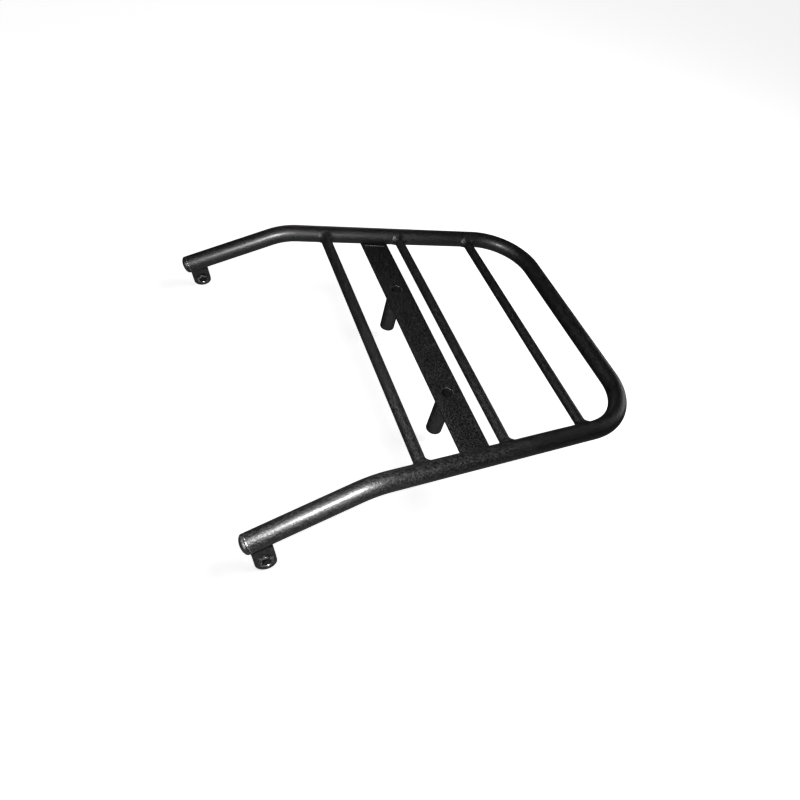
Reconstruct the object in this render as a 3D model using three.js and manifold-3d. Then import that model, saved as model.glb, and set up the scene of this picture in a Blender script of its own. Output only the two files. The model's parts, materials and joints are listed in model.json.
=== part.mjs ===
// Tubular luggage rack: a bent hoop of round tube with cross tubes, a drilled plate on two
// stand-offs, and two threaded lugs under the front arms. Millimetres, +Z up.
// The origin is midway between the feet of the two stand-offs, +Y runs to the rear of the rack.
import * as THREE from 'three'
import { mergeVertices } from 'three/addons/utils/BufferGeometryUtils.js'
import Module from 'manifold-3d'

const wasm = await Module()
wasm.setup()

// Driving dimensions
const GAP = 0.3
const HOOP_OD = 19
const HOOP_WALL = 1.6
const RAIL_HEIGHT = 67.9
const RAIL_HALF_SPACING = 171.8
const RAIL_TAPER = THREE.MathUtils.degToRad(5)
const REAR_BAR_Y = 188.6
const CORNER_RADIUS = 64.8
const ARM_BEND_Y = -96.7
const ARM_BEND_RADIUS = 76.6
const ARM_DROP = THREE.MathUtils.degToRad(23.4)
const ARM_LEAN = THREE.MathUtils.degToRad(3.15)
const ARM_LENGTH = 101
const CROSS_WALL = 1.5
const CROSS_TUBES = {
  front: { y: -64.3, radius: 6 },
  middle: { y: 27.6, radius: 5.3 },
  rear: { y: 119.5, radius: 5.3 },
}
const PLATE_WIDTH = 32.2
const PLATE_THICKNESS = 3
const PLATE_OVERHANG = 4
const BOLT_SPACING = 163.4
const BOLT_HOLE_D = 12.6
const STANDOFF_OD = 17.2
const LUG_WIDTH = 19.6
const LUG_THICKNESS = 4
const LUG_SETBACK = 9.6
const LUG_DROP = 31.6
const LUG_RAKE = THREE.MathUtils.degToRad(12.6)
const LUG_SPLAY = THREE.MathUtils.degToRad(11.1)
const NUT_ACROSS_FLATS = 13
const NUT_HEIGHT = 8
const NUT_BORE_D = 8
const NUT_CHAMFER = 0.8
const NUT_RISE = 1.8
const NUT_SHIFT = 1
const PLUG_SHANK = 12
const PLUG_LEAD_IN = 1
const PLUG_RIM = 1.8
const PLUG_DOME = 4.4
const BEAD_RADIUS = 2.3
const PLATE_BEAD_INSET = 6.46
const PLATE_BEAD_RISE = 1.2
const LUG_BEAD_OUT = 0.6
const LUG_BEAD_DROP = 0.2

// Sizes that follow from them
const HOOP_R = HOOP_OD / 2
const STANDOFF_R = STANDOFF_OD / 2
const PLATE_TOP = RAIL_HEIGHT - HOOP_R - GAP
const PLATE_BOTTOM = PLATE_TOP - PLATE_THICKNESS
const STANDOFF_HEIGHT = PLATE_BOTTOM - GAP
const NUT_DROP = LUG_DROP - NUT_RISE
const HEXAGON_TURN = Math.PI / 6
const SIDES = { left: -1, right: 1 }

// Bars and boxes that only cut other shapes
const RAIL_CUTTER_HALF = 40
const ARM_CUTTER_OVERRUN = 0.5
const PLATE_CUTTER_LENGTH = 400

// Tessellation
const MERGE_DISTANCE = 1e-4
const HOOP_SIDES = 24
const THIN_TUBE_SIDES = 20
const CUTTER_SIDES = 48
const CORNER_STEPS = 14
const ARM_BEND_STEPS = 5
const BEAD_STEPS = 28
const BEAD_SIDES = 8
const CAPSULE_CAP_STEPS = 4
const CAPSULE_SIDES = 12
const BOLT_HOLE_STEPS = 16
const STANDOFF_STEPS = 14
const STANDOFF_BEAD_STEPS = 40
const STANDOFF_BEAD_SIDES = 10
const LUG_ARC_STEPS = 20
const NUT_BORE_SIDES = 32
const PLUG_SIDES = 28
const PLUG_DOME_STEPS = 7

const coat = new THREE.MeshStandardMaterial({ color: 0x17181a, roughness: 0.38, metalness: 0.35 })
const weldCoat = new THREE.MeshStandardMaterial({ color: 0x1c1d1f, roughness: 0.45, metalness: 0.35 })
const nutSteel = new THREE.MeshStandardMaterial({ color: 0x2b2c2e, roughness: 0.35, metalness: 0.7 })
const plugPlastic = new THREE.MeshStandardMaterial({ color: 0x121212, roughness: 0.5, metalness: 0 })

const rack = new THREE.Group()

function addPart(name, geometry, material) {
  const mesh = new THREE.Mesh(geometry, material)
  mesh.name = name
  rack.add(mesh)
}

// Booleans -------------------------------------------------------------------------------

function toSolid(geometry) {
  const bare = geometry.clone()
  bare.deleteAttribute('normal')
  bare.deleteAttribute('uv')
  const merged = mergeVertices(bare, MERGE_DISTANCE)
  return new wasm.Manifold(new wasm.Mesh({
    numProp: 3,
    vertProperties: new Float32Array(merged.attributes.position.array),
    triVerts: new Uint32Array(merged.index.array),
  }))
}

function toGeometry(solid) {
  const { vertProperties, triVerts } = solid.getMesh()
  const geometry = new THREE.BufferGeometry()
  geometry.setAttribute('position', new THREE.BufferAttribute(vertProperties, 3))
  geometry.setIndex(new THREE.BufferAttribute(triVerts, 1))
  geometry.computeVertexNormals()
  return geometry
}

function cut(geometry, ...cutters) {
  return toGeometry(cutters.reduce((solid, cutter) => solid.subtract(toSolid(cutter)), toSolid(geometry)))
}

// Basic shapes ---------------------------------------------------------------------------

function ringShape(outerRadius, innerRadius) {
  const shape = new THREE.Shape().absarc(0, 0, outerRadius, 0, 2 * Math.PI)
  shape.holes.push(new THREE.Path().absarc(0, 0, innerRadius, 0, 2 * Math.PI, true))
  return shape
}

// A round bar from one point to another.
function bar(radius, from, to, sides = CUTTER_SIDES) {
  const direction = to.clone().sub(from)
  const geometry = new THREE.CylinderGeometry(radius, radius, direction.length(), sides)
  const turn = new THREE.Quaternion().setFromUnitVectors(new THREE.Vector3(0, 1, 0), direction.clone().normalize())
  geometry.applyQuaternion(turn)
  const middle = from.clone().add(to).multiplyScalar(0.5)
  return geometry.translate(middle.x, middle.y, middle.z)
}

// The same bar with a hemisphere on each end, for straight weld beads.
function roundedBar(radius, from, to) {
  const direction = to.clone().sub(from)
  const geometry = new THREE.CapsuleGeometry(radius, direction.length(), CAPSULE_CAP_STEPS, CAPSULE_SIDES)
  const turn = new THREE.Quaternion().setFromUnitVectors(new THREE.Vector3(0, 1, 0), direction.clone().normalize())
  geometry.applyQuaternion(turn)
  const middle = from.clone().add(to).multiplyScalar(0.5)
  return geometry.translate(middle.x, middle.y, middle.z)
}

// Hoop -----------------------------------------------------------------------------------

const railDirection = new THREE.Vector3(-Math.sin(RAIL_TAPER), Math.cos(RAIL_TAPER), 0)
// The right-hand arm bends down in a plane that leans in towards the middle of the rack.
const down = new THREE.Vector3(-Math.sin(ARM_LEAN), 0, -Math.cos(ARM_LEAN))

function railX(y) {
  return RAIL_HALF_SPACING - Math.tan(RAIL_TAPER) * y
}

// Stations of the right-hand half of the hoop, from the arm's open end to the middle of the
// rear bar: each has a point on the tube's centreline and the tube's direction there.
function halfHoopStations() {
  const stations = []
  const forward = railDirection.clone().negate()
  const bendStart = new THREE.Vector3(railX(ARM_BEND_Y), ARM_BEND_Y, RAIL_HEIGHT)
  for (let step = ARM_BEND_STEPS; step >= 0; step -= 1) {
    const angle = ARM_DROP * step / ARM_BEND_STEPS
    const point = bendStart.clone()
      .addScaledVector(forward, ARM_BEND_RADIUS * Math.sin(angle))
      .addScaledVector(down, ARM_BEND_RADIUS * (1 - Math.cos(angle)))
    const direction = forward.clone().multiplyScalar(-Math.cos(angle)).addScaledVector(down, -Math.sin(angle))
    stations.push({ point, direction })
  }
  const armTop = stations[0]
  const armEnd = armTop.point.clone().addScaledVector(armTop.direction, -ARM_LENGTH)
  stations.unshift({ point: armEnd, direction: armTop.direction.clone() })

  const cornerStartY = REAR_BAR_Y - CORNER_RADIUS * (1 - Math.sin(RAIL_TAPER))
  const centreX = railX(cornerStartY) - CORNER_RADIUS * Math.cos(RAIL_TAPER)
  const centreY = REAR_BAR_Y - CORNER_RADIUS
  for (let step = 0; step <= CORNER_STEPS; step += 1) {
    const angle = RAIL_TAPER + (Math.PI / 2 - RAIL_TAPER) * step / CORNER_STEPS
    const x = centreX + CORNER_RADIUS * Math.cos(angle)
    const y = centreY + CORNER_RADIUS * Math.sin(angle)
    const direction = new THREE.Vector3(-Math.sin(angle), Math.cos(angle), 0)
    stations.push({ point: new THREE.Vector3(x, y, RAIL_HEIGHT), direction })
  }
  return stations
}

function mirrored({ point, direction }) {
  return {
    point: new THREE.Vector3(-point.x, point.y, point.z),
    direction: new THREE.Vector3(direction.x, -direction.y, -direction.z),
  }
}

// A centreline given by stations, so that straight stretches take one step and bends several.
class StationCurve extends THREE.Curve {
  constructor(stations) {
    super()
    this.stations = stations
  }

  stationAt(u) {
    return this.stations[Math.round(u * (this.stations.length - 1))]
  }

  getPointAt(u, target = new THREE.Vector3()) {
    return target.copy(this.stationAt(u).point)
  }

  getTangentAt(u, target = new THREE.Vector3()) {
    return target.copy(this.stationAt(u).direction)
  }
}

const halfHoop = halfHoopStations()

function makeHoop() {
  const stations = [...halfHoop, ...halfHoop.map(mirrored).reverse()]
  const path = new StationCurve(stations)
  const section = ringShape(HOOP_R, HOOP_R - HOOP_WALL)
  const options = { steps: stations.length - 1, curveSegments: HOOP_SIDES / 2, extrudePath: path }
  addPart('hoop_tube', new THREE.ExtrudeGeometry(section, options), coat)
}

// A solid bar along one rail near a given y, a little thicker than the tube, for coping.
function railCutter(side, y) {
  const middle = new THREE.Vector3(side * railX(y), y, RAIL_HEIGHT)
  const along = new THREE.Vector3(side * railDirection.x, railDirection.y, 0).multiplyScalar(RAIL_CUTTER_HALF)
  return bar(HOOP_R + GAP, middle.clone().sub(along), middle.clone().add(along))
}

// Cross tubes ----------------------------------------------------------------------------

function makeCrossTube(name, { y, radius }) {
  const section = ringShape(radius, radius - CROSS_WALL)
  const options = { depth: 2 * railX(y), curveSegments: THIN_TUBE_SIDES / 2, bevelEnabled: false }
  const tube = new THREE.ExtrudeGeometry(section, options)
  tube.rotateY(Math.PI / 2).translate(-railX(y), y, RAIL_HEIGHT)
  addPart(`cross_tube_${name}`, cut(tube, railCutter(-1, y), railCutter(1, y)), coat)
}

// The weld bead follows the saddle-shaped seam between a cross tube and a rail.
function makeCrossWeld(name, { y, radius }, sideName) {
  const side = SIDES[sideName]
  const seam = []
  for (let step = 0; step < BEAD_STEPS; step += 1) {
    const angle = 2 * Math.PI * step / BEAD_STEPS
    const seamY = y + radius * Math.cos(angle)
    const rise = radius * Math.sin(angle)
    const reach = Math.sqrt(HOOP_R ** 2 - rise ** 2) / Math.cos(RAIL_TAPER)
    seam.push(new THREE.Vector3(side * (railX(seamY) - reach), seamY, RAIL_HEIGHT + rise))
  }
  const curve = new THREE.CatmullRomCurve3(seam, true)
  const bead = new THREE.TubeGeometry(curve, BEAD_STEPS, BEAD_RADIUS, BEAD_SIDES, true)
  const ends = [-1, 1].map((end) => new THREE.Vector3(end * railX(y), y, RAIL_HEIGHT))
  const tubeCutter = bar(radius + GAP, ends[0], ends[1])
  addPart(`weld_cross_${name}_${sideName}`, cut(bead, railCutter(side, y), tubeCutter), weldCoat)
}

// Plate and stand-offs -------------------------------------------------------------------

function makePlate() {
  const frontHalf = railX(-PLATE_WIDTH / 2) + PLATE_OVERHANG
  const rearHalf = railX(PLATE_WIDTH / 2) + PLATE_OVERHANG
  const outline = new THREE.Shape()
  outline.moveTo(-frontHalf, -PLATE_WIDTH / 2)
  outline.lineTo(frontHalf, -PLATE_WIDTH / 2)
  outline.lineTo(rearHalf, PLATE_WIDTH / 2)
  outline.lineTo(-rearHalf, PLATE_WIDTH / 2)
  for (const side of Object.values(SIDES)) {
    const hole = new THREE.Path().absarc(side * BOLT_SPACING / 2, 0, BOLT_HOLE_D / 2, 0, 2 * Math.PI, true)
    outline.holes.push(hole)
  }
  const options = { depth: PLATE_THICKNESS, curveSegments: BOLT_HOLE_STEPS, bevelEnabled: false }
  const plate = new THREE.ExtrudeGeometry(outline, options)
  plate.translate(0, 0, PLATE_BOTTOM)
  addPart('mounting_plate', plate, coat)
}

function makeStandoff(sideName) {
  const x = SIDES[sideName] * BOLT_SPACING / 2
  const options = { depth: STANDOFF_HEIGHT, curveSegments: STANDOFF_STEPS, bevelEnabled: false }
  const tube = new THREE.ExtrudeGeometry(ringShape(STANDOFF_R, BOLT_HOLE_D / 2), options)
  addPart(`standoff_${sideName}`, tube.translate(x, 0, 0), coat)

  const bead = new THREE.TorusGeometry(STANDOFF_R + GAP, BEAD_RADIUS, STANDOFF_BEAD_SIDES, STANDOFF_BEAD_STEPS)
  bead.translate(x, 0, STANDOFF_HEIGHT)
  const postCutter = bar(STANDOFF_R + GAP, new THREE.Vector3(x, 0, 0), new THREE.Vector3(x, 0, RAIL_HEIGHT))
  const plateCutter = new THREE.BoxGeometry(4 * STANDOFF_R, 4 * STANDOFF_R, 2 * BEAD_RADIUS)
  plateCutter.translate(x, 0, STANDOFF_HEIGHT + BEAD_RADIUS)
  addPart(`weld_standoff_${sideName}`, cut(bead, postCutter, plateCutter), weldCoat)
}

// A straight bead in the corner between the plate's top face and the inner side of the rail.
function makePlateWeld(sideName) {
  const side = SIDES[sideName]
  const reach = PLATE_WIDTH / 2 - BEAD_RADIUS
  const [front, rear] = [-reach, reach].map((y) => {
    return new THREE.Vector3(side * (railX(y) - PLATE_BEAD_INSET), y, PLATE_TOP + PLATE_BEAD_RISE)
  })
  const plateCutter = new THREE.BoxGeometry(PLATE_CUTTER_LENGTH, 2 * PLATE_WIDTH, 2 * BEAD_RADIUS)
  plateCutter.translate(0, 0, PLATE_TOP + GAP - BEAD_RADIUS)
  const bead = roundedBar(BEAD_RADIUS, front, rear)
  addPart(`weld_plate_${sideName}`, cut(bead, railCutter(side, 0), plateCutter), weldCoat)
}

// Lugs, nuts and plugs at the arm ends ---------------------------------------------------

// Frame at an arm's open end: x back along the tab's width, y through the tab, z up the tab.
function lugMatrix(side) {
  const { point, direction } = side > 0 ? halfHoop[0] : mirrored(halfHoop[0])
  const backAlongArm = direction.clone().multiplyScalar(side)
  const up = new THREE.Vector3(
    -side * Math.sin(LUG_SPLAY),
    -Math.cos(LUG_SPLAY) * Math.sin(LUG_RAKE),
    Math.cos(LUG_SPLAY) * Math.cos(LUG_RAKE),
  )
  const through = new THREE.Vector3().crossVectors(up, backAlongArm).normalize()
  const width = new THREE.Vector3().crossVectors(through, up)
  const root = point.clone().addScaledVector(backAlongArm, LUG_SETBACK)
  return new THREE.Matrix4().makeBasis(width, through, up).setPosition(root)
}

// The nut's hexagon in the tab's plane, with a corner pointing up the tab.
function hexagon(acrossFlats) {
  const corners = []
  for (let corner = 0; corner < 6; corner += 1) {
    const angle = HEXAGON_TURN + Math.PI * corner / 3
    const radius = acrossFlats / 2 / Math.cos(Math.PI / 6)
    corners.push(new THREE.Vector2(NUT_SHIFT + radius * Math.cos(angle), radius * Math.sin(angle) - NUT_DROP))
  }
  return new THREE.Shape(corners)
}

// Extrudes a shape drawn in the tab's own plane, centred on the tab's thickness.
function throughTab(shape, depth) {
  const geometry = new THREE.ExtrudeGeometry(shape, { depth, curveSegments: LUG_ARC_STEPS, bevelEnabled: false })
  return geometry.translate(0, 0, -depth / 2).rotateX(Math.PI / 2)
}

function armCutter(side) {
  const { point, direction } = side > 0 ? halfHoop[0] : mirrored(halfHoop[0])
  const inward = direction.clone().multiplyScalar(side * ARM_LENGTH / 2)
  const start = point.clone().addScaledVector(inward, -ARM_CUTTER_OVERRUN)
  return bar(HOOP_R + GAP, start, point.clone().add(inward))
}

function makeLug(sideName) {
  const side = SIDES[sideName]
  const matrix = lugMatrix(side)
  const half = LUG_WIDTH / 2
  const outline = new THREE.Shape()
  outline.moveTo(half, 0)
  outline.lineTo(-half, 0)
  outline.lineTo(-half, -LUG_DROP)
  outline.absarc(0, -LUG_DROP, half, Math.PI, 2 * Math.PI)
  outline.closePath()
  outline.holes.push(new THREE.Path(hexagon(NUT_ACROSS_FLATS + 2 * GAP).getPoints().reverse()))
  const tab = throughTab(outline, LUG_THICKNESS).applyMatrix4(matrix)
  addPart(`lug_${sideName}`, cut(tab, armCutter(side)), coat)
  return matrix
}

function makeNut(sideName, matrix) {
  const block = throughTab(hexagon(NUT_ACROSS_FLATS), NUT_HEIGHT)
  const bore = new THREE.CylinderGeometry(NUT_BORE_D / 2, NUT_BORE_D / 2, 2 * NUT_HEIGHT, NUT_BORE_SIDES)
  bore.translate(NUT_SHIFT, 0, -NUT_DROP)
  const mouths = [-1, 1].map((face) => {
    const wide = NUT_BORE_D / 2 + 2 * NUT_CHAMFER
    const narrow = NUT_BORE_D / 2 - NUT_CHAMFER
    const radii = face > 0 ? [wide, narrow] : [narrow, wide]
    const mouth = new THREE.CylinderGeometry(...radii, 3 * NUT_CHAMFER, NUT_BORE_SIDES)
    return mouth.translate(NUT_SHIFT, face * (NUT_HEIGHT - NUT_CHAMFER) / 2, -NUT_DROP)
  })
  addPart(`lug_nut_${sideName}`, cut(block, bore, ...mouths).applyMatrix4(matrix), nutSteel)
}

function makeLugWelds(sideName, matrix) {
  const side = SIDES[sideName]
  const reach = LUG_WIDTH / 2 - BEAD_RADIUS
  for (const [faceName, face] of Object.entries({ inner: side, outer: -side })) {
    const across = face * (LUG_THICKNESS / 2 + LUG_BEAD_OUT)
    const [front, rear] = [-reach, reach].map((x) => {
      return new THREE.Vector3(x, across, -HOOP_R - LUG_BEAD_DROP).applyMatrix4(matrix)
    })
    const tabCutter = new THREE.BoxGeometry(2 * LUG_WIDTH, LUG_THICKNESS + 2 * GAP, 3 * LUG_DROP)
    tabCutter.applyMatrix4(matrix)
    const bead = roundedBar(BEAD_RADIUS, front, rear)
    addPart(`weld_lug_${sideName}_${faceName}`, cut(bead, armCutter(side), tabCutter), weldCoat)
  }
}

function makePlug(sideName) {
  const { point, direction } = SIDES[sideName] > 0 ? halfHoop[0] : mirrored(halfHoop[0])
  const shankR = HOOP_R - HOOP_WALL - GAP
  const profile = [
    new THREE.Vector2(0, -PLUG_SHANK),
    new THREE.Vector2(shankR - PLUG_LEAD_IN, -PLUG_SHANK),
    new THREE.Vector2(shankR, PLUG_LEAD_IN - PLUG_SHANK),
    new THREE.Vector2(shankR, GAP),
    new THREE.Vector2(HOOP_R, GAP),
    new THREE.Vector2(HOOP_R, GAP + PLUG_RIM),
  ]
  for (let step = 1; step <= PLUG_DOME_STEPS; step += 1) {
    const angle = Math.PI / 2 * step / PLUG_DOME_STEPS
    const radius = step < PLUG_DOME_STEPS ? HOOP_R * Math.cos(angle) : 0
    profile.push(new THREE.Vector2(radius, GAP + PLUG_RIM + PLUG_DOME * Math.sin(angle)))
  }
  const outward = direction.clone().multiplyScalar(-SIDES[sideName])
  const plug = new THREE.LatheGeometry(profile, PLUG_SIDES)
  plug.applyQuaternion(new THREE.Quaternion().setFromUnitVectors(new THREE.Vector3(0, 1, 0), outward))
  addPart(`end_plug_${sideName}`, plug.translate(point.x, point.y, point.z), plugPlastic)
}

makeHoop()
for (const [name, tube] of Object.entries(CROSS_TUBES)) {
  makeCrossTube(name, tube)
  makeCrossWeld(name, tube, 'left')
  makeCrossWeld(name, tube, 'right')
}
makePlate()
for (const sideName of Object.keys(SIDES)) {
  makeStandoff(sideName)
  makePlateWeld(sideName)
  const matrix = makeLug(sideName)
  makeNut(sideName, matrix)
  makeLugWelds(sideName, matrix)
  makePlug(sideName)
}

export default rack
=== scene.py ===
"""Looks of the tubular luggage rack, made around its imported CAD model.

Lengths are millimetres in the rack's own frame: +Z up, +Y to the rear bar, the origin midway
between the feet of the stand-offs. They turn into metres when a mesh, lamp or camera is made.
"""
import json
import math

import bmesh
import bpy
from mathutils import Matrix, Quaternion, Vector, noise

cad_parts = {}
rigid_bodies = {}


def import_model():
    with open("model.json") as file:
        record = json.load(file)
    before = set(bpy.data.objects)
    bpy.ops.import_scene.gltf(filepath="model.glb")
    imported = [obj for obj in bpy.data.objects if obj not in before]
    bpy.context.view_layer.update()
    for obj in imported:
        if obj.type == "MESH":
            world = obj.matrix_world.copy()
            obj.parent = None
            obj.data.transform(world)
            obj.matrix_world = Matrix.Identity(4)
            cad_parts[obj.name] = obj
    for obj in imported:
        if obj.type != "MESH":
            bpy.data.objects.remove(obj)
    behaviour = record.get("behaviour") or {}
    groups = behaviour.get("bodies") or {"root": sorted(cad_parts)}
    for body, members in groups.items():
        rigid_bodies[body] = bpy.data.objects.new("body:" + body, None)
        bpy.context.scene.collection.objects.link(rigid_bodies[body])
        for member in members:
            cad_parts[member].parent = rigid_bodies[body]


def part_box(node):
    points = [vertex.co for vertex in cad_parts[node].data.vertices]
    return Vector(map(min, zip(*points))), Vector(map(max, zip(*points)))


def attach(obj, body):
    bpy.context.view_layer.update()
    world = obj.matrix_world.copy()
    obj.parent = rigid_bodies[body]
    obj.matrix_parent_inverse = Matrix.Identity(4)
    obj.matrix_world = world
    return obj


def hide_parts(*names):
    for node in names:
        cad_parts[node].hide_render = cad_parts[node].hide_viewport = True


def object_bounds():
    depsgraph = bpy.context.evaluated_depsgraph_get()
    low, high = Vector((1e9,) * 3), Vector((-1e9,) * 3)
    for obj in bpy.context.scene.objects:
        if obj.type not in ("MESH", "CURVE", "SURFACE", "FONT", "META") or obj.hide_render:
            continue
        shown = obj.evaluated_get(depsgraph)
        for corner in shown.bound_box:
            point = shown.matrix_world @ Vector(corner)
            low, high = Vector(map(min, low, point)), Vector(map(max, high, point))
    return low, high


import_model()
cad_low, cad_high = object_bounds()

MM = 0.001
X_AXIS, Z_AXIS = Vector((1, 0, 0)), Vector((0, 0, 1))
SIDES = {"left": -1, "right": 1}
CROSS_PLACES = ("front", "middle", "rear")

# Camera
CAMERA_PLACE = Vector((458.4, -286.4, 520))
CAMERA_AZIMUTH = math.radians(58.06)
CAMERA_ELEVATION = math.radians(46.32)
CAMERA_ROLL = math.radians(17.46)
CAMERA_LENS = 29.16
CAMERA_NEAR, CAMERA_FAR = 20, 50000

# Lights, surroundings and backdrop; a gamma under 1 deepens the picture's contrast
SOFTBOX_PLACE = Vector((150, 800, 1150))
SOFTBOX_WIDTH = 900
SOFTBOX_WATTS = 7

# Lights that fall on the rack alone: their place, width and watts
RACK_LIGHTS = {
    "key": (Vector((400, -336, 494)), 70, 6.4),
    "rear": (Vector((-150, 1100, 300)), 700, 5),
    "left": (Vector((-1100, 200, 250)), 600, 1.5),
}
KEY_TARGET = Vector((40, -170, 40))
KEY_SPREAD = math.radians(90)
BOUNCE_WAY = Vector((0.5, 0.1, -0.85))
BOUNCE_SPREAD = 0.45
BOUNCE_STRENGTH = 0.7
CONTRAST_GAMMA = 0.72
BACKDROP_RADIUS = 9000
BACKDROP_GLOW = 0.92
DOME_RISE = math.radians(88)
FLOOR_GAP = 0.5

# Driving dimensions of the tubes, the same as the CAD model's
HOOP_RADIUS = 9.5
HOOP_WALL = 1.6
RAIL_HALF_SPACING = 171.8
RAIL_TAPER = math.radians(5)
REAR_BAR_Y = 188.6
CORNER_RADIUS = 64.8
ARM_BEND_Y = -96.7
ARM_BEND_RADIUS = 76.6
ARM_DROP = math.radians(23.4)
ARM_LEAN = math.radians(3.15)
ARM_LENGTH = 101
CROSS_WALL = 1.5
PLATE_OVERHANG = 4
BOLT_RADIUS = 6.3
STANDOFF_RADIUS = 8.6
STANDOFF_EASE = 0.8

# Driving dimensions of the lugs, nuts and plugs at the arm ends
LUG_WIDTH = 19.6
LUG_THICKNESS = 4
LUG_SETBACK = 9.6
LUG_DROP = 31.6
LUG_RAKE = math.radians(12.6)
LUG_SPLAY = math.radians(11.1)
NUT_ACROSS_FLATS = 13
NUT_HEIGHT = 8
NUT_RISE = 1.8
NUT_SHIFT = 1
NUT_BARE_BAND = 0.9
NUT_FACE_SHARE = 0.95
NUT_CHAMFER = math.radians(30)
THREAD_MAJOR = 4
THREAD_MINOR = 3.35
THREAD_PITCH = 1.25
THREAD_MOUTH = 0.5
PLUG_RIM = 1.8
PLUG_DOME = 4.4
PLUG_DOME_TURN = math.radians(87)
SHANK_LENGTH = 12
SHANK_TAPER = 1
SHANK_TIP_RADIUS = 0.5
SEAM_GAP = 0.3

# Driving dimensions of the welds
CROSS_WELD_LEG = 3.6
PLATE_WELD_LEG = 4.4
STANDOFF_WELD_LEG = 2.4
LUG_WELD_LEG = 4
PLATE_WELD_INSET = 4.2
PLATE_WELD_RISE = 0.5
PLATE_WELD_SETBACK = 2
LUG_WELD_SETBACK = 0.2
RIPPLE_PITCH = 1.9

# Shape of a weld, in shares of its leg: a slightly hollow face, ripples and a slow wander
WELD_BULGE = -0.1
RIPPLE_DEPTH = 0.1
WANDER_DEPTH = 0.12

# Fineness of that wander, in features per millimetre
WANDER_SCALE = 0.21

# How far a weld's root reaches into the metal, and how an open weld's ends grow from a stub
WELD_ROOT = 0.9
END_STUB = 0.06
END_FADE = 8

# Fineness of the meshes
HOOP_SIDES = 72
THIN_SIDES = 48
STRAIGHT_STEP = 8
BEND_STEPS = 24
CORNER_STEPS = 40
CROSS_STEPS = 40
STANDOFF_STEPS = 12
HOLE_SIDES = 64
LUG_ARC_STEPS = 40
NUT_SIDES = 96
NUT_BAND_STEPS = 8
NUT_FLAT_STEPS = 6
THREAD_STEPS = 64
DOME_STEPS = 18
WELD_SECTION_STEPS = 8
CROSS_WELD_STEPS = 120
PLATE_WELD_STEPS = 64
STANDOFF_WELD_STEPS = 132
LUG_WELD_STEPS = 56
BACKDROP_SIDES, BACKDROP_STEPS = 96, 24
EASE_STEPS = 4
SHARP_ANGLE = math.radians(38)

# Cut edges: eased rim of a tube, chipped band on it and eased edge of a flat bar
LIP = 0.35
BARE_BAND = 1.1
EDGE_EASE = 0.45

# Powder coat: the fineness of its textures, in features per metre, and the depths of its bumps
PEEL_FINENESS = 330
GRIT_FINENESS = 640
CLOUD_FINENESS = 38
RUB_FINENESS = 120
PEEL_DEPTH = 0.12
WELD_PEEL_DEPTH = 0.2
GRIT_DEPTH = 0.4

# Sockets of the colour Mix node: its share and its two colours
MIX_SOCKETS = (0, 6, 7)


def node_centre(node):
    low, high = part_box(node)
    return (low + high) / 2 / MM


def cross_radius(place):
    low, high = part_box(f"cross_tube_{place}")
    return (high.z - low.z) / 2 / MM


RAIL_HEIGHT = node_centre("cross_tube_middle").z
PLATE_BOTTOM, PLATE_TOP = (corner.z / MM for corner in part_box("mounting_plate"))
PLATE_HALF_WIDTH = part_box("mounting_plate")[1].y / MM
STANDOFF_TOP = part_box("standoff_right")[1].z / MM


# Meshes ---------------------------------------------------------------------------------------


def turns(count):
    return [2 * math.pi * step / count for step in range(count)]


def steps(first, last, count):
    return [first + (last - first) * step / count for step in range(count + 1)]


def ring(centre, axis, radius, sides=HOOP_SIDES):
    """Points round a circle whose first point is level with the centre."""
    upward = (Z_AXIS - axis * axis.z).normalized()
    across = axis.cross(upward)
    return [centre + radius * (math.cos(t) * across + math.sin(t) * upward) for t in turns(sides)]


def bridge(bm, here, ahead):
    """Faces between two rings of vertices."""
    for k in range(len(here)):
        bm.faces.new((here[k - 1], here[k], ahead[k], ahead[k - 1]))


def join_rings(rings, wrap=False):
    """A mesh through the rings in order: the last joins the first, or both ends are closed."""
    bm = bmesh.new()
    loops = [[bm.verts.new(point * MM) for point in points] for points in rings]
    for here, ahead in zip(loops, loops[1:] + loops[:1] if wrap else loops[1:]):
        bridge(bm, here, ahead)
    if not wrap:
        bm.faces.new(loops[0])
        bm.faces.new(loops[-1])
    return bm


def add_piece(node, bm, materials):
    """Turns a mesh into the shown piece that stands for a CAD node."""
    bmesh.ops.recalc_face_normals(bm, faces=bm.faces)
    for face in bm.faces:
        face.smooth = True
    for edge in bm.edges:
        if edge.is_manifold and edge.calc_face_angle() > SHARP_ANGLE:
            edge.smooth = False
    mesh = bpy.data.meshes.new(f"{node}_fine")
    bm.to_mesh(mesh)
    bm.free()
    for material in materials:
        mesh.materials.append(material)
    piece = bpy.data.objects.new(f"{node}_fine", mesh)
    bpy.context.scene.collection.objects.link(piece)
    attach(piece, "root")
    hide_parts(node)
    return piece


def tube_rings(stations, outer, inner, sides):
    """Rings along the outside of a tube and back along its inside, with eased ends."""
    (first, start), (last, end) = stations[0], stations[-1]
    eased = [
        (first + start * LIP, start),
        (first + start * BARE_BAND, start),
        *stations[1:-1],
        (last - end * BARE_BAND, end),
        (last - end * LIP, end),
    ]
    outside = [ring(point, way, outer, sides) for point, way in eased]
    inside = [ring(point, way, inner, sides) for point, way in reversed(eased)]
    return [
        ring(first, start, outer - LIP, sides),
        *outside,
        ring(last, end, outer - LIP, sides),
        ring(last, end, inner + LIP, sides),
        *inside,
        ring(first, start, inner + LIP, sides),
    ]


# Hoop -----------------------------------------------------------------------------------------


def rail_x(y):
    return RAIL_HALF_SPACING - math.tan(RAIL_TAPER) * y


RAIL_WAY = Vector((-math.sin(RAIL_TAPER), math.cos(RAIL_TAPER), 0))
ARM_DOWN = Vector((-math.sin(ARM_LEAN), 0, -math.cos(ARM_LEAN)))


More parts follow.
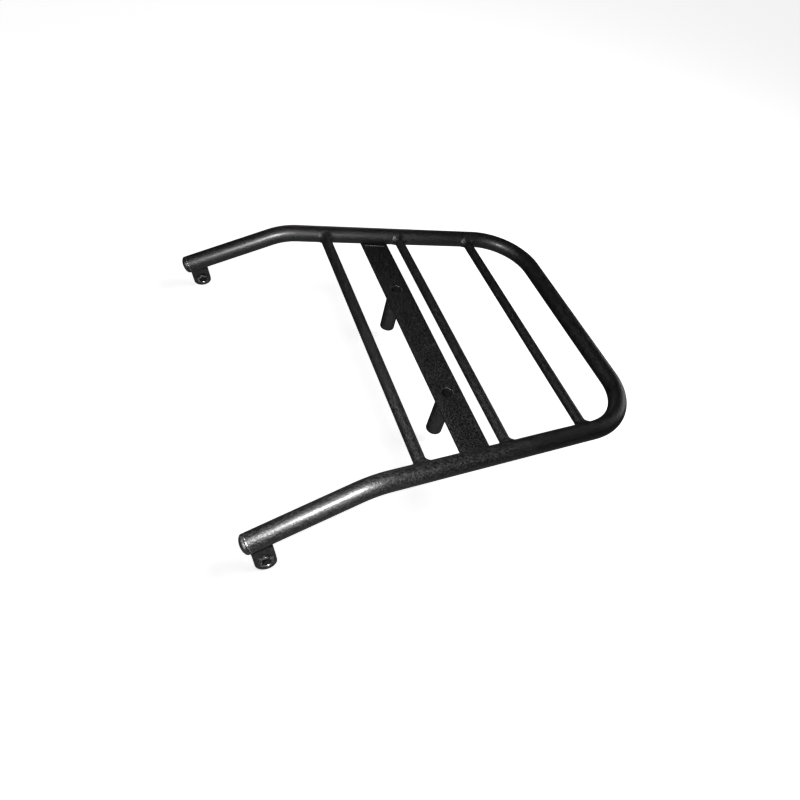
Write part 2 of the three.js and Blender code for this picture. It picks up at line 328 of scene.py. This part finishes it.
def arm_bend_station(angle):
    start = Vector((rail_x(ARM_BEND_Y), ARM_BEND_Y, RAIL_HEIGHT))
    ahead, drop = ARM_BEND_RADIUS * math.sin(angle), ARM_BEND_RADIUS * (1 - math.cos(angle))
    point = start - RAIL_WAY * ahead + ARM_DOWN * drop
    return point, RAIL_WAY * math.cos(angle) - ARM_DOWN * math.sin(angle)


def corner_station(angle):
    start_y = REAR_BAR_Y - CORNER_RADIUS * (1 - math.sin(RAIL_TAPER))
    centre_x = rail_x(start_y) - CORNER_RADIUS * math.cos(RAIL_TAPER)
    centre = Vector((centre_x, REAR_BAR_Y - CORNER_RADIUS, RAIL_HEIGHT))
    outward = Vector((math.cos(angle), math.sin(angle), 0))
    return centre + outward * CORNER_RADIUS, Vector((-math.sin(angle), math.cos(angle), 0))


def straight_stations(start, end):
    """Evenly spaced stations strictly between two stations on one straight stretch."""
    span = end[0] - start[0]
    count = max(2, round(span.length / STRAIGHT_STEP))
    way = span.normalized()
    return [(start[0] + span * share, way) for share in steps(0, 1, count)[1:-1]]


def half_hoop():
    """Right half of the hoop's centreline, from the arm's open end to the middle of the rear bar."""
    bend = [arm_bend_station(angle) for angle in steps(ARM_DROP, 0, BEND_STEPS)]
    arm_end = (bend[0][0] - bend[0][1] * ARM_LENGTH, bend[0][1])
    corner = [corner_station(angle) for angle in steps(RAIL_TAPER, math.pi / 2, CORNER_STEPS)]
    middle = (Vector((0, REAR_BAR_Y, RAIL_HEIGHT)), -X_AXIS)
    return [
        arm_end,
        *straight_stations(arm_end, bend[0]),
        *bend,
        *straight_stations(bend[-1], corner[0]),
        *corner,
        *straight_stations(corner[-1], middle),
        middle,
    ]


def mirrored(station):
    point, way = station
    return Vector((-point.x, point.y, point.z)), Vector((way.x, -way.y, -way.z))


HALF_HOOP = half_hoop()
ARM_ENDS = {"right": HALF_HOOP[0], "left": mirrored(HALF_HOOP[0])}


def make_hoop(coat, bare_edge):
    stations = HALF_HOOP + [mirrored(station) for station in reversed(HALF_HOOP[:-1])]
    bm = join_rings(tube_rings(stations, HOOP_RADIUS, HOOP_RADIUS - HOOP_WALL, HOOP_SIDES), wrap=True)
    for point, way in ARM_ENDS.values():
        for face in bm.faces:
            from_end = face.calc_center_median() / MM - point
            if abs(from_end.dot(way)) < BARE_BAND and from_end.length < 2 * HOOP_RADIUS:
                face.material_index = 1
    add_piece("hoop_tube", bm, [coat, bare_edge])


# Cross tubes ----------------------------------------------------------------------------------


def saddle_point(y, angle, radius, bite=0.0):
    """Where a cross tube's wall meets the right-hand rail, at an angle round the cross tube."""
    seam_y, rise = y + radius * math.cos(angle), radius * math.sin(angle)
    reach = math.sqrt(HOOP_RADIUS**2 - rise**2) / math.cos(RAIL_TAPER)
    return Vector((rail_x(seam_y) - reach + bite, seam_y, RAIL_HEIGHT + rise))


def cross_ring(y, radius, share):
    """Ring of a cross tube at a share of the way from its left end to its right end."""
    ends = [saddle_point(y, angle, radius, bite=HOOP_WALL / 4) for angle in turns(THIN_SIDES)]
    return [Vector((point.x * (2 * share - 1), point.y, point.z)) for point in ends]


def make_cross_tube(place, coat):
    y, radius = node_centre(f"cross_tube_{place}").y, cross_radius(place)
    shares = steps(0, 1, CROSS_STEPS)
    outside = [cross_ring(y, radius, share) for share in shares]
    inside = [cross_ring(y, radius - CROSS_WALL, share) for share in reversed(shares)]
    add_piece(f"cross_tube_{place}", join_rings(outside + inside, wrap=True), [coat])


# Welds ----------------------------------------------------------------------------------------


def weld_section(point, way, normal_a, normal_b, leg):
    """Fillet section between two surfaces that meet at a point, closed inside the metal."""
    toe_a, toe_b = way.cross(normal_a).normalized(), way.cross(normal_b).normalized()
    if toe_a.dot(normal_b) < 0:
        toe_a.negate()
    if toe_b.dot(normal_a) < 0:
        toe_b.negate()
    section = []
    for share in steps(0, 1, WELD_SECTION_STEPS):
        chord = toe_a * (1 - share) + toe_b * share
        bulge = (normal_a + normal_b).normalized() * WELD_BULGE * math.sin(math.pi * share)
        section.append(point + (chord + bulge) * leg)
    # The root: three points hidden in the metal, under one toe, the corner and the other toe
    roots = [toe_b * 0.7 - normal_b * 0.3, -(normal_a + normal_b) * 0.35, toe_a * 0.7 - normal_a * 0.3]
    return section + [point + root * WELD_ROOT for root in roots]


def make_weld(node, seam, leg, material, closed):
    """A rippled bead along a seam, given as (point, normal_a, normal_b) at even steps."""
    rings, travelled = [], 0.0
    last = len(seam) - 1
    for k, (point, normal_a, normal_b) in enumerate(seam):
        before = seam[k - 1][0] if closed or k else point
        after = seam[(k + 1) % len(seam)][0] if closed or k < last else point
        travelled += (point - before).length if k else 0.0
        ripple = abs(math.sin(math.pi * travelled / RIPPLE_PITCH)) - 0.5
        wander = noise.noise(point * WANDER_SCALE) * WANDER_DEPTH
        size = leg * (1 + RIPPLE_DEPTH * ripple + wander)
        if not closed:
            fade = min(k, last - k) / last * END_FADE
            size *= math.sqrt(1 - (1 - min(1, END_STUB + fade)) ** 2)
        rings.append(weld_section(point, (after - before).normalized(), normal_a, normal_b, size))
    add_piece(node, join_rings(rings, wrap=closed), [material])


def make_cross_weld(place, side_name, material):
    y, radius, side = node_centre(f"cross_tube_{place}").y, cross_radius(place), SIDES[side_name]
    axis_point = Vector((rail_x(y), y, RAIL_HEIGHT))
    mirror = Vector((side, 1, 1))
    seam = []
    for angle in turns(CROSS_WELD_STEPS):
        point = saddle_point(y, angle, radius)
        from_axis = point - axis_point
        rail_normal = (from_axis - RAIL_WAY * from_axis.dot(RAIL_WAY)).normalized()
        tube_normal = Vector((0, math.cos(angle), math.sin(angle)))
        seam.append((point * mirror, rail_normal * mirror, tube_normal * mirror))
    make_weld(f"weld_cross_{place}_{side_name}", seam, CROSS_WELD_LEG, material, closed=True)


def make_plate_weld(node, side, material):
    """The bead in the wedge between the plate's top face and the rail that lies on it."""
    reach = PLATE_HALF_WIDTH - PLATE_WELD_SETBACK
    seam = []
    for y in steps(-reach, reach, PLATE_WELD_STEPS):
        point = Vector((side * (rail_x(y) - PLATE_WELD_INSET), y, PLATE_TOP + PLATE_WELD_RISE))
        rail_normal = (point - Vector((side * rail_x(y), y, RAIL_HEIGHT))).normalized()
        seam.append((point, Z_AXIS, rail_normal))
    make_weld(node, seam, PLATE_WELD_LEG, material, closed=False)


def make_standoff_weld(side_name, material):
    centre = Vector((node_centre(f"standoff_{side_name}").x, 0, PLATE_BOTTOM))
    seam = []
    for angle in turns(STANDOFF_WELD_STEPS):
        outward = Vector((math.cos(angle), math.sin(angle), 0))
        seam.append((centre + outward * STANDOFF_RADIUS, -Z_AXIS, outward))
    make_weld(f"weld_standoff_{side_name}", seam, STANDOFF_WELD_LEG, material, closed=True)


# Plate, tabs and stand-offs -------------------------------------------------------------------


def offset_loop(loop, distance):
    """Moves a 2D loop to its left, into the material, with mitred corners."""
    moved = []
    for before, here, after in zip(loop[-1:] + loop[:-1], loop, loop[1:] + loop[:1]):
        ways = [(here - before).normalized(), (after - here).normalized()]
        lefts = [Vector((-way.y, way.x)) for way in ways]
        moved.append(here + (lefts[0] + lefts[1]) * distance / (1 + lefts[0].dot(lefts[1])))
    return moved


def flat_bar(outline, holes, thickness, place):
    """A plate with eased edges. Outline runs anticlockwise and holes clockwise, in its own plane."""
    bm = bmesh.new()
    caps = {0: [], -1: []}
    for loop in [outline, *holes]:
        levels = []
        for share in steps(0, 1, EASE_STEPS):
            turn = share * math.pi / 2
            inset, drop = EDGE_EASE * (1 - math.sin(turn)), EDGE_EASE * (1 - math.cos(turn))
            levels.append((inset, thickness / 2 - drop))
        levels += [(inset, -height) for inset, height in reversed(levels)]
        rings = []
        for inset, height in levels:
            points = [place @ Vector((p.x, p.y, height)) for p in offset_loop(loop, inset)]
            rings.append([bm.verts.new(point * MM) for point in points])
        for here, ahead in zip(rings, rings[1:]):
            bridge(bm, here, ahead)
        for end in caps:
            caps[end] += [bm.edges.get((rings[end][k - 1], rings[end][k])) for k in range(len(loop))]
    for edges in caps.values():
        bmesh.ops.triangle_fill(bm, use_beauty=True, use_dissolve=False, edges=edges)
    return bm


def circle_hole(x, y, radius):
    return [Vector((x + radius * math.cos(t), y - radius * math.sin(t))) for t in turns(HOLE_SIDES)]


def make_plate(coat, bare_edge):
    bolt_x = node_centre("standoff_right").x
    half = PLATE_HALF_WIDTH
    front, rear = rail_x(-half) + PLATE_OVERHANG, rail_x(half) + PLATE_OVERHANG
    corners = ((-front, -half), (front, -half), (rear, half), (-rear, half))
    outline = [Vector(corner) for corner in corners]
    holes = [circle_hole(side * bolt_x, 0, BOLT_RADIUS) for side in SIDES.values()]
    place = Matrix.Translation((0, 0, (PLATE_TOP + PLATE_BOTTOM) / 2))
    bm = flat_bar(outline, holes, PLATE_TOP - PLATE_BOTTOM, place)
    for face in bm.faces:
        middle = face.calc_center_median() / MM
        at_hole = math.hypot(abs(middle.x) - bolt_x, middle.y) < BOLT_RADIUS + EDGE_EASE
        if at_hole and PLATE_TOP - middle.z < EDGE_EASE:
            face.material_index = 1
    add_piece("mounting_plate", bm, [coat, bare_edge])


def lathe(profile, place, sides, wrap):
    """Turns (radius, height) points round the Z axis of a placing matrix."""
    rings = []
    for radius, height in profile:
        circle = [Vector((radius * math.cos(t), radius * math.sin(t), height)) for t in turns(sides)]
        rings.append([place @ point for point in circle])
    return join_rings(rings, wrap)


def make_standoff(node, coat, dull):
    outer, bore, ease = STANDOFF_RADIUS, BOLT_RADIUS, STANDOFF_EASE
    profile = [(bore + ease / 2, 0), (outer - ease, 0), (outer - ease / 4, ease / 4), (outer, ease)]
    profile += [(outer, height) for height in steps(ease + 1, STANDOFF_TOP, STANDOFF_STEPS)]
    profile += [(bore, height) for height in steps(STANDOFF_TOP, ease / 2, STANDOFF_STEPS)]
    centre = Vector((node_centre(node).x, 0, 0))
    bm = lathe(profile, Matrix.Translation(centre), HOOP_SIDES, wrap=True)
    for face in bm.faces:
        from_axis = face.calc_center_median() / MM - centre
        if from_axis.xy.length < bore + ease / 4:
            face.material_index = 1
    add_piece(node, bm, [coat, dull])


# Lugs, nuts and plugs at the arm ends ---------------------------------------------------------


def lug_place(side_name):
    """Placing matrix of a tab: x back along its width, y up it, z out of its inner face."""
    side = SIDES[side_name]
    point, way = ARM_ENDS[side_name]
    back = way * side
    up = Vector((
        -side * math.sin(LUG_SPLAY),
        -math.cos(LUG_SPLAY) * math.sin(LUG_RAKE),
        math.cos(LUG_SPLAY) * math.cos(LUG_RAKE),
    ))
    through = back.cross(up).normalized()
    width = up.cross(through)
    axes = Matrix((width, up, through)).transposed().to_4x4()
    return Matrix.Translation(point + back * LUG_SETBACK) @ axes


def make_lug(side_name, coat):
    half = LUG_WIDTH / 2
    top = -math.sqrt(HOOP_RADIUS**2 - (LUG_THICKNESS / 2) ** 2) + HOOP_WALL / 3
    half_turn = steps(math.pi, 2 * math.pi, LUG_ARC_STEPS)
    arc = [Vector((half * math.cos(t), -LUG_DROP + half * math.sin(t))) for t in half_turn]
    outline = [Vector((half, top)), Vector((-half, top)), *arc]
    corner = (NUT_ACROSS_FLATS / 2 + SEAM_GAP / 2) / math.cos(math.pi / 6)
    nut = Vector((NUT_SHIFT, NUT_RISE - LUG_DROP))
    hole = [nut + corner * Vector((math.sin(t), math.cos(t))) for t in turns(6)]
    bm = flat_bar(outline, [hole], LUG_THICKNESS, lug_place(side_name))
    add_piece(f"lug_{side_name}", bm, [coat])


def make_lug_welds(side_name, material):
    place = lug_place(side_name)
    turn = place.to_3x3()
    drop = -math.sqrt(HOOP_RADIUS**2 - (LUG_THICKNESS / 2) ** 2)
    reach = LUG_WIDTH / 2 - LUG_WELD_SETBACK
    for face_name, face in {"inner": 1, "outer": -1}.items():
        root = Vector((0, drop, face * LUG_THICKNESS / 2))
        tab_normal = turn @ (Z_AXIS * face)
        arm_normal = turn @ root.normalized()
        seam = []
        for along in steps(-reach, reach, LUG_WELD_STEPS):
            seam.append((place @ (root + X_AXIS * along), tab_normal, arm_normal))
        make_weld(f"weld_lug_{side_name}_{face_name}", seam, LUG_WELD_LEG, material, closed=False)


def thread_radius(angle, height):
    """Radius of a right-hand thread's flank, with its mouths opened by a chamfer."""
    phase = (height / THREAD_PITCH - angle / (2 * math.pi)) % 1
    flank = THREAD_MINOR + (THREAD_MAJOR - THREAD_MINOR) * abs(2 * phase - 1)
    mouth = THREAD_MAJOR + THREAD_MOUTH - (NUT_HEIGHT / 2 - abs(height))
    return max(flank, mouth)


def hexagon_radius(angle):
    sector = math.pi / 3
    return NUT_ACROSS_FLATS / 2 / math.cos(angle % sector - sector / 2)


def nut_radius(angle, height):
    """Outer radius of the nut: its hexagon, cut back by a chamfer at each face."""
    face_radius = NUT_FACE_SHARE * NUT_ACROSS_FLATS / 2
    chamfer = face_radius + (NUT_HEIGHT / 2 - abs(height)) / math.tan(NUT_CHAMFER)
    return min(hexagon_radius(angle), chamfer)


def make_nut(side_name, steel, bare_edge, dull_thread):
    top = NUT_HEIGHT / 2
    flat = top - NUT_BARE_BAND
    upright = Matrix.Rotation(math.pi / 6, 4, "Z")
    place = lug_place(side_name) @ Matrix.Translation((NUT_SHIFT, NUT_RISE - LUG_DROP, 0)) @ upright
    upper = steps(top, flat, NUT_BAND_STEPS)
    lower = [-height for height in reversed(upper)]
    outside = [*upper, *steps(flat, -flat, NUT_FLAT_STEPS)[1:-1], *lower]
    inside = steps(-top, top, THREAD_STEPS)
    rings = []
    for heights, radius_at in ((outside, nut_radius), (inside, thread_radius)):
        for height in heights:
            polar = [(radius_at(t, height), t) for t in turns(NUT_SIDES)]
            rings.append([place @ Vector((r * math.cos(t), r * math.sin(t), height)) for r, t in polar])
    bm = join_rings(rings, wrap=True)
    to_nut = place.inverted()
    for face in bm.faces:
        spot = to_nut @ (face.calc_center_median() / MM)
        if abs(spot.z) > flat and spot.xy.length > NUT_ACROSS_FLATS / 2:
            face.material_index = 1
        elif spot.xy.length < THREAD_MAJOR:
            face.material_index = 2
    add_piece(f"lug_nut_{side_name}", bm, [steel, bare_edge, dull_thread])


def make_plug(side_name, plastic):
    """A push-in plug: a shank in the tube, a seam, a short rim and a domed cap."""
    point, way = ARM_ENDS[side_name]
    outward = -way * SIDES[side_name]
    place = Matrix.Translation(point) @ outward.to_track_quat("Z", "Y").to_matrix().to_4x4()
    shank = HOOP_RADIUS - HOOP_WALL - SEAM_GAP
    rim_top = SEAM_GAP + PLUG_RIM
    profile = [
        (SHANK_TIP_RADIUS, -SHANK_LENGTH),
        (shank - SHANK_TAPER, -SHANK_LENGTH),
        (shank, SHANK_TAPER - SHANK_LENGTH),
        (shank, SEAM_GAP),
        (HOOP_RADIUS - LIP, SEAM_GAP),
        (HOOP_RADIUS, SEAM_GAP + LIP),
        (HOOP_RADIUS, rim_top),
    ]
    for turn in steps(0, PLUG_DOME_TURN, DOME_STEPS)[1:]:
        profile.append((HOOP_RADIUS * math.cos(turn), rim_top + PLUG_DOME * math.sin(turn)))
    bm = lathe(profile, place, HOOP_SIDES, wrap=False)
    add_piece(f"end_plug_{side_name}", bm, [plastic])


# Materials ------------------------------------------------------------------------------------


class Shading:
    """A material's node tree, with short calls for the nodes that the finishes share."""

    def __init__(self, name):
        self.material = bpy.data.materials.new(name)
        self.material.use_nodes = True
        self.tree = self.material.node_tree
        self.surface = self.tree.nodes["Principled BSDF"]
        self.place = self.add("ShaderNodeTexCoord").outputs["Object"]

    def add(self, kind, inputs=None, **settings):
        made = self.tree.nodes.new(kind)
        for name, value in settings.items():
            setattr(made, name, value)
        for name, value in (inputs or {}).items():
            self.connect(value, made.inputs[name])
        return made

    def connect(self, value, socket):
        if isinstance(value, bpy.types.NodeSocket):
            self.tree.links.new(value, socket)
        else:
            socket.default_value = value

    def set(self, name, value):
        self.connect(value, self.surface.inputs[name])

    def noise(self, scale, detail=2.0, stretch=None):
        """Noise with a given number of features per metre, 0 to 1."""
        place = self.place
        if stretch:
            place = self.add("ShaderNodeMapping", {"Vector": place, "Scale": stretch}).outputs["Vector"]
        inputs = {"Vector": place, "Scale": scale, "Detail": detail}
        return self.add("ShaderNodeTexNoise", inputs).outputs["Fac"]

    def remap(self, value, low, high, to_low=0.0, to_high=1.0):
        inputs = {"Value": value, "From Min": low, "From Max": high, "To Min": to_low, "To Max": to_high}
        return self.add("ShaderNodeMapRange", inputs).outputs["Result"]

    def blend(self, share, first, second):
        made = self.add("ShaderNodeMix", data_type="RGBA")
        for socket, value in zip(MIX_SOCKETS, (share, first, second)):
            self.connect(value, made.inputs[socket])
        return made.outputs[2]

    def combine(self, operation, first, second):
        made = self.add("ShaderNodeMath", operation=operation)
        self.connect(first, made.inputs[0])
        self.connect(second, made.inputs[1])
        return made.outputs[0]

    def bump(self, layers):
        """Stacks (height, depth in millimetres) layers into the surface normal."""
        normal = None
        for height, depth in layers:
            inputs = {"Height": height, "Distance": depth * MM, "Strength": 1.0}
            if normal:
                inputs["Normal"] = normal
            normal = self.add("ShaderNodeBump", inputs).outputs["Normal"]
        self.set("Normal", normal)


def grey(value, warmth=0.0):
    return (value * (1 + warmth), value, value * (1 - warmth), 1)


def powder_coat(name, peel_depth):
    """Black powder coat: orange peel, fine speckle, faint rub marks and settled dust."""
    look = Shading(name)
    peel = look.noise(PEEL_FINENESS, 2)
    grit = look.noise(GRIT_FINENESS, 3)
    cloud = look.noise(CLOUD_FINENESS, 4)
    rub = look.remap(look.noise(RUB_FINENESS, 7), 0.62, 0.76)
    normal = look.add("ShaderNodeNewGeometry").outputs["Normal"]
    upward = look.add("ShaderNodeSeparateXYZ", {"Vector": normal}).outputs["Z"]
    settled = look.combine("MULTIPLY", look.remap(upward, 0.3, 1.0), look.remap(grit, 0.55, 0.75))
    speckle = look.remap(grit, 0.44, 0.6)
    base = look.blend(speckle, grey(0.0005), look.blend(cloud, grey(0.007), grey(0.015)))
    base = look.blend(look.combine("MULTIPLY", settled, 0.06), base, grey(0.06, 0.02))
    base = look.blend(look.combine("MULTIPLY", rub, 0.3), base, grey(0.04))
    look.set("Base Color", base)
    gloss = look.remap(cloud, 0.25, 0.75, 0.53, 0.6)
    gloss = look.combine("ADD", gloss, look.combine("MULTIPLY", rub, 0.1))
    look.set("Roughness", look.combine("ADD", gloss, look.remap(grit, 0.4, 0.6, -0.08, 0.08)))
    look.set("Coat Weight", 0.2)
    look.set("Coat Roughness", 0.32)
    look.bump([(peel, peel_depth), (grit, GRIT_DEPTH)])
    return look.material


def bare_edge():
    """Rim of a tube end, bolt hole or nut, chipped back to bright steel in places."""
    look = Shading("chipped_tube_end")
    chips = look.remap(look.noise(900, 4), 0.46, 0.54)
    look.set("Base Color", look.blend(chips, grey(0.015), grey(0.35, 0.02)))
    look.set("Metallic", chips)
    look.set("Roughness", look.remap(chips, 0, 1, 0.4, 0.26))
    look.bump([(chips, -0.05), (look.noise(3200), 0.01)])
    return look.material


def dull_bore():
    """Inside of a stand-off or a nut: matt and nearly black."""
    look = Shading("dull_bore")
    scale = look.noise(500, 5)
    look.set("Base Color", look.blend(scale, grey(0.002), grey(0.01)))
    look.set("Roughness", look.remap(scale, 0.3, 0.7, 0.8, 0.95))
    look.set("Specular IOR Level", 0.1)
    look.bump([(scale, 0.05)])
    return look.material


def nut_steel():
    """Darkened steel nut, worn brighter where a spanner has touched it."""
    look = Shading("nut_steel_worn")
    wear = look.remap(look.noise(420, 6), 0.42, 0.62)
    marks = look.noise(1500, 5, stretch=(1, 6, 1))
    look.set("Base Color", look.blend(wear, grey(0.03, 0.02), grey(0.27, 0.015)))
    look.set("Metallic", 0.9)
    look.set("Roughness", look.remap(marks, 0.3, 0.7, 0.24, 0.46))
    look.bump([(marks, 0.02), (wear, 0.02)])
    return look.material


def plug_plastic():
    """Moulded black plastic with a fine spark grain and a few dull marks."""
    look = Shading("plug_plastic_grain")
    grain = look.noise(2600, 4)
    dull = look.remap(look.noise(260, 5), 0.5, 0.68)
    look.set("Base Color", look.blend(dull, grey(0.011), grey(0.032)))
    look.set("Roughness", look.remap(dull, 0, 1, 0.42, 0.6))
    look.bump([(grain, 0.03)])
    return look.material


# Studio ---------------------------------------------------------------------------------------


def make_backdrop():
    """A pale floor and dome that the camera sees, though the rack doesn't mirror them."""
    level = cad_low.z / MM - FLOOR_GAP
    rise = steps(0, DOME_RISE, BACKDROP_STEPS)
    profile = [(BACKDROP_RADIUS * math.cos(t), BACKDROP_RADIUS * math.sin(t)) for t in rise]
    bm = lathe(profile, Matrix.Translation((0, 0, level)), BACKDROP_SIDES, wrap=False)
    mesh = bpy.data.meshes.new("backdrop")
    bm.to_mesh(mesh)
    bm.free()
    backdrop = bpy.data.objects.new("backdrop", mesh)
    bpy.context.scene.collection.objects.link(backdrop)
    look = Shading("pale_backdrop")
    look.set("Base Color", grey(0.86))
    look.set("Roughness", 0.9)
    look.set("Emission Color", grey(1.0))
    look.set("Emission Strength", BACKDROP_GLOW)
    mesh.materials.append(look.material)
    backdrop.visible_glossy = False
    backdrop.visible_diffuse = False
    backdrop.visible_shadow = False


def add_light(name, place, target, width, watts):
    """A round soft light at a place, facing a target."""
    lamp = bpy.data.lights.new(name, "AREA")
    lamp.shape = "DISK"
    lamp.size = width * MM
    lamp.energy = watts
    light = bpy.data.objects.new(name, lamp)
    light.location = place * MM
    light.rotation_mode = "QUATERNION"
    light.rotation_quaternion = (target - place).to_track_quat("-Z", "Y")
    bpy.context.scene.collection.objects.link(light)
    return light


def make_surroundings():
    """Dark surroundings, with a dim bounce from below and from the rack's right."""
    world = bpy.data.worlds.new("studio")
    world.use_nodes = True
    nodes, links = world.node_tree.nodes, world.node_tree.links
    towards = nodes.new("ShaderNodeTexCoord").outputs["Generated"]
    bounce = nodes.new("ShaderNodeVectorMath")
    bounce.operation = "DOT_PRODUCT"
    bounce.inputs[1].default_value = BOUNCE_WAY.normalized()
    level = nodes.new("ShaderNodeMapRange")
    level.inputs["From Min"].default_value = BOUNCE_SPREAD
    level.inputs["To Max"].default_value = BOUNCE_STRENGTH
    links.new(towards, bounce.inputs[0])
    links.new(bounce.outputs["Value"], level.inputs["Value"])
    links.new(level.outputs["Result"], nodes["Background"].inputs["Strength"])
    nodes["Background"].inputs["Color"].default_value = grey(1.0)
    bpy.context.scene.world = world


def make_studio(pieces):
    """A soft light over rack and floor, and three that fall on the rack alone."""
    make_surroundings()
    bpy.context.scene.view_settings.view_transform = "Standard"
    bpy.context.scene.view_settings.gamma = CONTRAST_GAMMA
    centre = (cad_low + cad_high) / 2 / MM
    softbox = add_light("softbox", SOFTBOX_PLACE, centre, SOFTBOX_WIDTH, SOFTBOX_WATTS)
    softbox.visible_glossy = False
    lit = bpy.data.collections.new("lit_rack")
    for piece in pieces:
        lit.objects.link(piece)
    for name, (place, width, watts) in RACK_LIGHTS.items():
        light = add_light(name, place, KEY_TARGET if name == "key" else centre, width, watts)
        light.light_linking.receiver_collection = lit
        if name == "key":
            light.data.spread = KEY_SPREAD


def make_camera():
    lens = bpy.data.cameras.new("camera")
    lens.lens = CAMERA_LENS
    lens.clip_start, lens.clip_end = CAMERA_NEAR * MM, CAMERA_FAR * MM
    camera = bpy.data.objects.new("camera", lens)
    level = math.cos(CAMERA_ELEVATION)
    look = Vector((
        -math.sin(CAMERA_AZIMUTH) * level,
        math.cos(CAMERA_AZIMUTH) * level,
        -math.sin(CAMERA_ELEVATION),
    ))
    camera.location = CAMERA_PLACE * MM
    camera.rotation_mode = "QUATERNION"
    camera.rotation_quaternion = look.to_track_quat("-Z", "Y") @ Quaternion(Z_AXIS, CAMERA_ROLL)
    bpy.context.scene.collection.objects.link(camera)
    bpy.context.scene.camera = camera


# The rack -------------------------------------------------------------------------------------


def make_rack():
    coat = powder_coat("black_powder_coat", PEEL_DEPTH)
    weld_coat = powder_coat("black_coat_on_weld", WELD_PEEL_DEPTH)
    steel, plastic = nut_steel(), plug_plastic()
    bare, dull = bare_edge(), dull_bore()
    make_hoop(coat, bare)
    make_plate(coat, bare)
    for place in CROSS_PLACES:
        make_cross_tube(place, coat)
    for side_name, side in SIDES.items():
        for place in CROSS_PLACES:
            make_cross_weld(place, side_name, weld_coat)
        make_plate_weld(f"weld_plate_{side_name}", side, weld_coat)
        make_standoff(f"standoff_{side_name}", coat, dull)
        make_standoff_weld(side_name, weld_coat)
        make_lug(side_name, coat)
        make_lug_welds(side_name, weld_coat)
        make_nut(side_name, steel, bare, dull)
        make_plug(side_name, plastic)


make_camera()
make_backdrop()
make_rack()
make_studio([piece for piece in bpy.data.objects if piece.name.endswith("_fine")])
